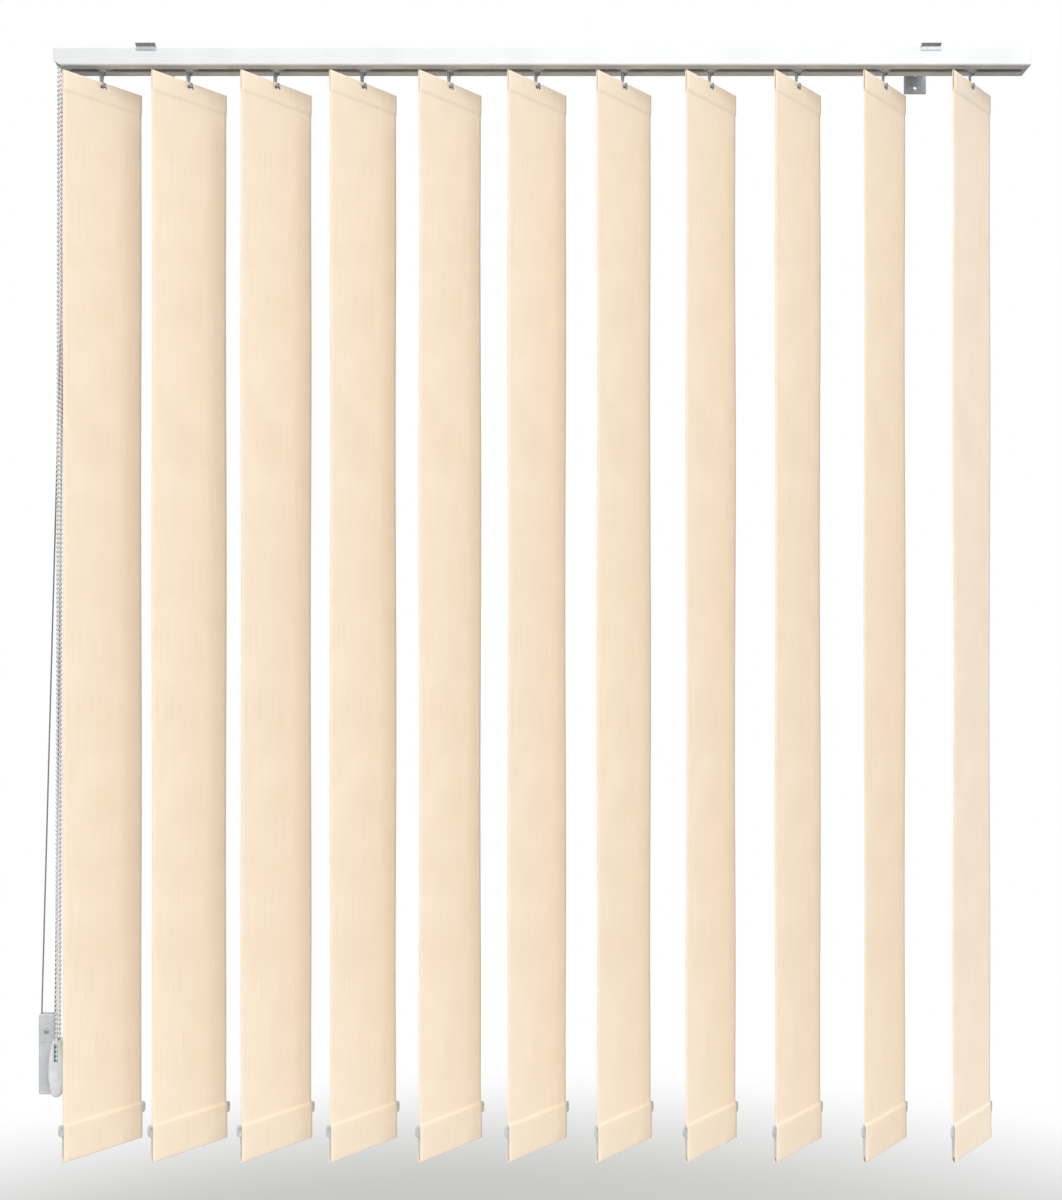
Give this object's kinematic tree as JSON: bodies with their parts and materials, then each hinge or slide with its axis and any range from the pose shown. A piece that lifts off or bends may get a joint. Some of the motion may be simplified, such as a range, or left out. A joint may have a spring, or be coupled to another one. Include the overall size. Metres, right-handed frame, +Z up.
{
  "type": "vertical blind",
  "caption": "Vertical blind: slotted aluminium headrail on wall brackets, turning fabric slats on sliding carriers, beaded tilt chain and weighted draw cord.",
  "frame": {"origin": "centre of the four wall screw holes, in the plane of the wall", "axes": "+X along the headrail from the control end to the idle end, +Y at the wall, +Z up"},
  "size_m": [1.309, 0.1289, 1.4572],
  "materials": {
    "slat_fabric": "woven polyester, cream",
    "acetal": "moulded acetal, pale grey",
    "hook_plastic": "translucent grey moulding",
    "white_aluminium": "white powder coat",
    "white_plastic": "white moulding",
    "zinc_steel": "zinc plated",
    "cord": "braided polyester",
    "chain_plastic": "moulded beads",
    "weight_plastic": "pale grey moulding",
    "chain_weight_plastic": "pale grey moulding",
    "mill_aluminium": "extruded"
  },
  "bodies": {
    "root": {"headrail": "white_aluminium", "control_end_housing": "white_plastic", "idle_end_cap": "white_plastic", "wall_brackets": "zinc_steel", "spring_clips": "zinc_steel", "draw_cord_in_rail": "cord", "draw_cord_loop": "cord", "tilt_chain_loop": "chain_plastic", "cord_weight": "weight_plastic", "chain_weight": "chain_weight_plastic", "carrier_01": "acetal"},
    "tilt_rod": {"tilt_rod": "mill_aluminium", "chain_sprocket": "acetal"},
    "head_pulley_near": {"head_pulley_near": "acetal"},
    "head_pulley_far": {"head_pulley_far": "acetal"},
    "idle_pulley": {"idle_pulley": "acetal"},
    "cord_weight_pulley": {"cord_weight_pulley": "acetal"},
    "carrier_11": {"carrier_11": "acetal"},
    "carrier_02": {"carrier_02": "acetal"},
    "carrier_03": {"carrier_03": "acetal"},
    "carrier_04": {"carrier_04": "acetal"},
    "carrier_05": {"carrier_05": "acetal"},
    "carrier_06": {"carrier_06": "acetal"},
    "carrier_07": {"carrier_07": "acetal"},
    "carrier_08": {"carrier_08": "acetal"},
    "carrier_09": {"carrier_09": "acetal"},
    "carrier_10": {"carrier_10": "acetal"},
    "slat_01": {"slat_01": "slat_fabric", "slat_fittings_01": "hook_plastic"},
    "worm_01": {"worm_01": "acetal"},
    "slat_02": {"slat_02": "slat_fabric", "slat_fittings_02": "hook_plastic"},
    "worm_02": {"worm_02": "acetal"},
    "slat_03": {"slat_03": "slat_fabric", "slat_fittings_03": "hook_plastic"},
    "worm_03": {"worm_03": "acetal"},
    "slat_04": {"slat_04": "slat_fabric", "slat_fittings_04": "hook_plastic"},
    "worm_04": {"worm_04": "acetal"},
    "slat_05": {"slat_05": "slat_fabric", "slat_fittings_05": "hook_plastic"},
    "worm_05": {"worm_05": "acetal"},
    "slat_06": {"slat_06": "slat_fabric", "slat_fittings_06": "hook_plastic"},
    "worm_06": {"worm_06": "acetal"},
    "slat_07": {"slat_07": "slat_fabric", "slat_fittings_07": "hook_plastic"},
    "worm_07": {"worm_07": "acetal"},
    "slat_08": {"slat_08": "slat_fabric", "slat_fittings_08": "hook_plastic"},
    "worm_08": {"worm_08": "acetal"},
    "slat_09": {"slat_09": "slat_fabric", "slat_fittings_09": "hook_plastic"},
    "worm_09": {"worm_09": "acetal"},
    "slat_10": {"slat_10": "slat_fabric", "slat_fittings_10": "hook_plastic"},
    "worm_10": {"worm_10": "acetal"},
    "slat_11": {"slat_11": "slat_fabric", "slat_fittings_11": "hook_plastic"},
    "worm_11": {"worm_11": "acetal"}
  },
  "joints": [
    {"name": "carrier_11_slide", "type": "slide", "parent": "root", "child": "carrier_11", "axis": [1, 0, 0], "range_m": [-0.93, 0]},
    {"name": "carrier_02_slide", "type": "slide", "parent": "root", "child": "carrier_02", "axis": [1, 0, 0], "range_m": [-0.093, 0]},
    {"name": "carrier_03_slide", "type": "slide", "parent": "root", "child": "carrier_03", "axis": [1, 0, 0], "range_m": [-0.186, 0]},
    {"name": "carrier_04_slide", "type": "slide", "parent": "root", "child": "carrier_04", "axis": [1, 0, 0], "range_m": [-0.279, 0]},
    {"name": "carrier_05_slide", "type": "slide", "parent": "root", "child": "carrier_05", "axis": [1, 0, 0], "range_m": [-0.372, 0]},
    {"name": "carrier_06_slide", "type": "slide", "parent": "root", "child": "carrier_06", "axis": [1, 0, 0], "range_m": [-0.465, 0]},
    {"name": "carrier_07_slide", "type": "slide", "parent": "root", "child": "carrier_07", "axis": [1, 0, 0], "range_m": [-0.558, 0]},
    {"name": "carrier_08_slide", "type": "slide", "parent": "root", "child": "carrier_08", "axis": [1, 0, 0], "range_m": [-0.651, 0]},
    {"name": "carrier_09_slide", "type": "slide", "parent": "root", "child": "carrier_09", "axis": [1, 0, 0], "range_m": [-0.744, 0]},
    {"name": "carrier_10_slide", "type": "slide", "parent": "root", "child": "carrier_10", "axis": [1, 0, 0], "range_m": [-0.837, 0]},
    {"name": "slat_01_tilt", "type": "hinge", "parent": "root", "child": "slat_01", "pos_m": [-0.5765, -0.072, 0], "axis": [0, 0, 1], "range_deg": [-29.7, 102.3]},
    {"name": "worm_01_turn", "type": "hinge", "parent": "root", "child": "worm_01", "pos_m": [-0.5765, -0.08, 0.001], "axis": [1, 0, 0], "range_deg": [-179.2, 614.8]},
    {"name": "slat_02_tilt", "type": "hinge", "parent": "carrier_02", "child": "slat_02", "pos_m": [-0.4615, -0.072, 0], "axis": [0, 0, 1], "range_deg": [-29.7, 102.3]},
    {"name": "worm_02_turn", "type": "hinge", "parent": "carrier_02", "child": "worm_02", "pos_m": [-0.4615, -0.08, 0.001], "axis": [1, 0, 0], "range_deg": [-179.2, 614.8]},
    {"name": "slat_03_tilt", "type": "hinge", "parent": "carrier_03", "child": "slat_03", "pos_m": [-0.3465, -0.072, 0], "axis": [0, 0, 1], "range_deg": [-29.7, 102.3]},
    {"name": "worm_03_turn", "type": "hinge", "parent": "carrier_03", "child": "worm_03", "pos_m": [-0.3465, -0.08, 0.001], "axis": [1, 0, 0], "range_deg": [-179.2, 614.8]},
    {"name": "slat_04_tilt", "type": "hinge", "parent": "carrier_04", "child": "slat_04", "pos_m": [-0.2315, -0.072, 0], "axis": [0, 0, 1], "range_deg": [-29.7, 102.3]},
    {"name": "worm_04_turn", "type": "hinge", "parent": "carrier_04", "child": "worm_04", "pos_m": [-0.2315, -0.08, 0.001], "axis": [1, 0, 0], "range_deg": [-179.2, 614.8]},
    {"name": "slat_05_tilt", "type": "hinge", "parent": "carrier_05", "child": "slat_05", "pos_m": [-0.1165, -0.072, 0], "axis": [0, 0, 1], "range_deg": [-29.7, 102.3]},
    {"name": "worm_05_turn", "type": "hinge", "parent": "carrier_05", "child": "worm_05", "pos_m": [-0.1165, -0.08, 0.001], "axis": [1, 0, 0], "range_deg": [-179.2, 614.8]},
    {"name": "slat_06_tilt", "type": "hinge", "parent": "carrier_06", "child": "slat_06", "pos_m": [-0.0015, -0.072, 0], "axis": [0, 0, 1], "range_deg": [-29.7, 102.3]},
    {"name": "worm_06_turn", "type": "hinge", "parent": "carrier_06", "child": "worm_06", "pos_m": [-0.0015, -0.08, 0.001], "axis": [1, 0, 0], "range_deg": [-179.2, 614.8]},
    {"name": "slat_07_tilt", "type": "hinge", "parent": "carrier_07", "child": "slat_07", "pos_m": [0.1135, -0.072, 0], "axis": [0, 0, 1], "range_deg": [-29.7, 102.3]},
    {"name": "worm_07_turn", "type": "hinge", "parent": "carrier_07", "child": "worm_07", "pos_m": [0.1135, -0.08, 0.001], "axis": [1, 0, 0], "range_deg": [-179.2, 614.8]},
    {"name": "slat_08_tilt", "type": "hinge", "parent": "carrier_08", "child": "slat_08", "pos_m": [0.2285, -0.072, 0], "axis": [0, 0, 1], "range_deg": [-29.7, 102.3]},
    {"name": "worm_08_turn", "type": "hinge", "parent": "carrier_08", "child": "worm_08", "pos_m": [0.2285, -0.08, 0.001], "axis": [1, 0, 0], "range_deg": [-179.2, 614.8]},
    {"name": "slat_09_tilt", "type": "hinge", "parent": "carrier_09", "child": "slat_09", "pos_m": [0.3435, -0.072, 0], "axis": [0, 0, 1], "range_deg": [-29.7, 102.3]},
    {"name": "worm_09_turn", "type": "hinge", "parent": "carrier_09", "child": "worm_09", "pos_m": [0.3435, -0.08, 0.001], "axis": [1, 0, 0], "range_deg": [-179.2, 614.8]},
    {"name": "slat_10_tilt", "type": "hinge", "parent": "carrier_10", "child": "slat_10", "pos_m": [0.4585, -0.072, 0], "axis": [0, 0, 1], "range_deg": [-29.7, 102.3]},
    {"name": "worm_10_turn", "type": "hinge", "parent": "carrier_10", "child": "worm_10", "pos_m": [0.4585, -0.08, 0.001], "axis": [1, 0, 0], "range_deg": [-179.2, 614.8]},
    {"name": "slat_11_tilt", "type": "hinge", "parent": "carrier_11", "child": "slat_11", "pos_m": [0.5735, -0.072, 0], "axis": [0, 0, 1], "range_deg": [-29.7, 102.3]},
    {"name": "worm_11_turn", "type": "hinge", "parent": "carrier_11", "child": "worm_11", "pos_m": [0.5735, -0.08, 0.001], "axis": [1, 0, 0], "range_deg": [-179.2, 614.8]},
    {"name": "tilt_rod_turn", "type": "hinge", "parent": "root", "child": "tilt_rod", "pos_m": [0, -0.08, 0.001], "axis": [1, 0, 0], "range_deg": [-179.2, 614.8]},
    {"name": "head_pulley_near_turn", "type": "hinge", "parent": "root", "child": "head_pulley_near", "pos_m": [-0.6235, -0.064, -0.0015], "axis": [0, 1, 0], "range_deg": [-11846.1, 5]},
    {"name": "head_pulley_far_turn", "type": "hinge", "parent": "root", "child": "head_pulley_far", "pos_m": [-0.6235, -0.056, -0.0015], "axis": [0, 1, 0], "range_deg": [-5, 11846.1]},
    {"name": "idle_pulley_turn", "type": "hinge", "parent": "root", "child": "idle_pulley", "pos_m": [0.632, -0.06, 0.003], "axis": [0, 0, 1], "range_deg": [-13326.3, 5]},
    {"name": "cord_weight_pulley_turn", "type": "hinge", "parent": "root", "child": "cord_weight_pulley", "pos_m": [-0.6525, -0.06, -1.282], "axis": [0, 1, 0], "range_deg": [-5, 5925.6]}
  ],
  "couplings": [
    {"joint": "carrier_02_slide", "follows": "carrier_11_slide", "ratio": 0.1},
    {"joint": "carrier_03_slide", "follows": "carrier_11_slide", "ratio": 0.2},
    {"joint": "carrier_04_slide", "follows": "carrier_11_slide", "ratio": 0.3},
    {"joint": "carrier_05_slide", "follows": "carrier_11_slide", "ratio": 0.4},
    {"joint": "carrier_06_slide", "follows": "carrier_11_slide", "ratio": 0.5},
    {"joint": "carrier_07_slide", "follows": "carrier_11_slide", "ratio": 0.6},
    {"joint": "carrier_08_slide", "follows": "carrier_11_slide", "ratio": 0.7},
    {"joint": "carrier_09_slide", "follows": "carrier_11_slide", "ratio": 0.8},
    {"joint": "carrier_10_slide", "follows": "carrier_11_slide", "ratio": 0.9},
    {"joint": "worm_01_turn", "follows": "slat_01_tilt", "ratio": 6},
    {"joint": "slat_02_tilt", "follows": "slat_01_tilt", "ratio": 1},
    {"joint": "worm_02_turn", "follows": "slat_01_tilt", "ratio": 6},
    {"joint": "slat_03_tilt", "follows": "slat_01_tilt", "ratio": 1},
    {"joint": "worm_03_turn", "follows": "slat_01_tilt", "ratio": 6},
    {"joint": "slat_04_tilt", "follows": "slat_01_tilt", "ratio": 1},
    {"joint": "worm_04_turn", "follows": "slat_01_tilt", "ratio": 6},
    {"joint": "slat_05_tilt", "follows": "slat_01_tilt", "ratio": 1},
    {"joint": "worm_05_turn", "follows": "slat_01_tilt", "ratio": 6},
    {"joint": "slat_06_tilt", "follows": "slat_01_tilt", "ratio": 1},
    {"joint": "worm_06_turn", "follows": "slat_01_tilt", "ratio": 6},
    {"joint": "slat_07_tilt", "follows": "slat_01_tilt", "ratio": 1},
    {"joint": "worm_07_turn", "follows": "slat_01_tilt", "ratio": 6},
    {"joint": "slat_08_tilt", "follows": "slat_01_tilt", "ratio": 1},
    {"joint": "worm_08_turn", "follows": "slat_01_tilt", "ratio": 6},
    {"joint": "slat_09_tilt", "follows": "slat_01_tilt", "ratio": 1},
    {"joint": "worm_09_turn", "follows": "slat_01_tilt", "ratio": 6},
    {"joint": "slat_10_tilt", "follows": "slat_01_tilt", "ratio": 1},
    {"joint": "worm_10_turn", "follows": "slat_01_tilt", "ratio": 6},
    {"joint": "slat_11_tilt", "follows": "slat_01_tilt", "ratio": 1},
    {"joint": "worm_11_turn", "follows": "slat_01_tilt", "ratio": 6},
    {"joint": "tilt_rod_turn", "follows": "slat_01_tilt", "ratio": 6},
    {"joint": "head_pulley_near_turn", "follows": "carrier_11_slide", "rad_per_m": 222.22},
    {"joint": "head_pulley_far_turn", "follows": "carrier_11_slide", "rad_per_m": -222.22},
    {"joint": "idle_pulley_turn", "follows": "carrier_11_slide", "rad_per_m": 250},
    {"joint": "cord_weight_pulley_turn", "follows": "carrier_11_slide", "rad_per_m": -111.11}
  ]
}
